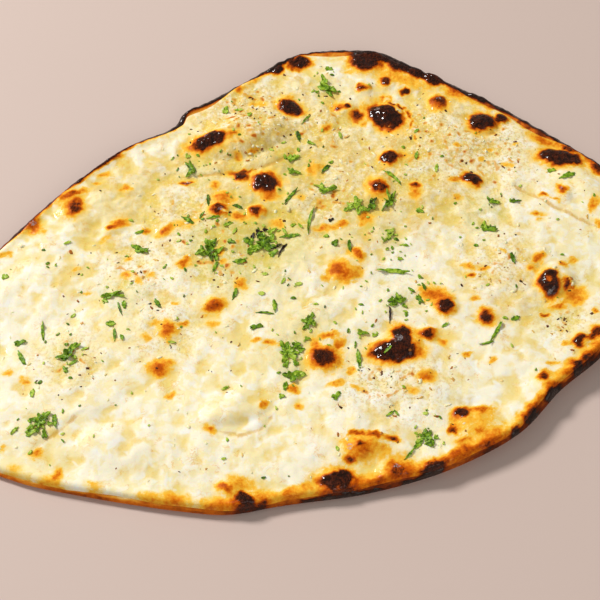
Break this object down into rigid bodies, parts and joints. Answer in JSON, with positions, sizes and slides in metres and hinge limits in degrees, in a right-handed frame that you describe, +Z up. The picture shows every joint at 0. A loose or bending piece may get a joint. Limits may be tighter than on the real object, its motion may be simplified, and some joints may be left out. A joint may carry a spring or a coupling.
{
  "type": "cheese garlic naan",
  "caption": "Large teardrop flatbread with a thin charred edge, a puffed and blistered skin of melted cheese, and chopped coriander.",
  "frame": {"origin": "middle of the naan's box, on the surface that it lies on", "axes": "+Z up through the thickness, +X along the length to the right-hand end, +Y to the far edge as pictured"},
  "size_m": [0.354, 0.2689, 0.014],
  "materials": {
    "bread": "baked dough, golden with charred spots, dry",
    "cheese": "melted cheese, cream with orange and black scorched blisters, oily",
    "coriander": "wilted green leaf, moist"
  },
  "bodies": {
    "root": {"bread": "bread", "cheese": "cheese", "coriander_leaf_01": "coriander", "coriander_leaf_02": "coriander", "coriander_leaf_03": "coriander", "coriander_leaf_04": "coriander", "coriander_leaf_05": "coriander", "coriander_leaf_06": "coriander", "coriander_leaf_07": "coriander", "coriander_leaf_08": "coriander", "coriander_leaf_09": "coriander", "coriander_leaf_10": "coriander", "coriander_leaf_11": "coriander", "coriander_leaf_12": "coriander", "coriander_leaf_13": "coriander", "coriander_leaf_14": "coriander", "coriander_leaf_15": "coriander", "coriander_leaf_16": "coriander", "coriander_leaf_17": "coriander", "coriander_leaf_18": "coriander", "coriander_leaf_19": "coriander", "coriander_leaf_20": "coriander", "coriander_leaf_21": "coriander", "coriander_leaf_22": "coriander"}
  },
  "joints": []
}
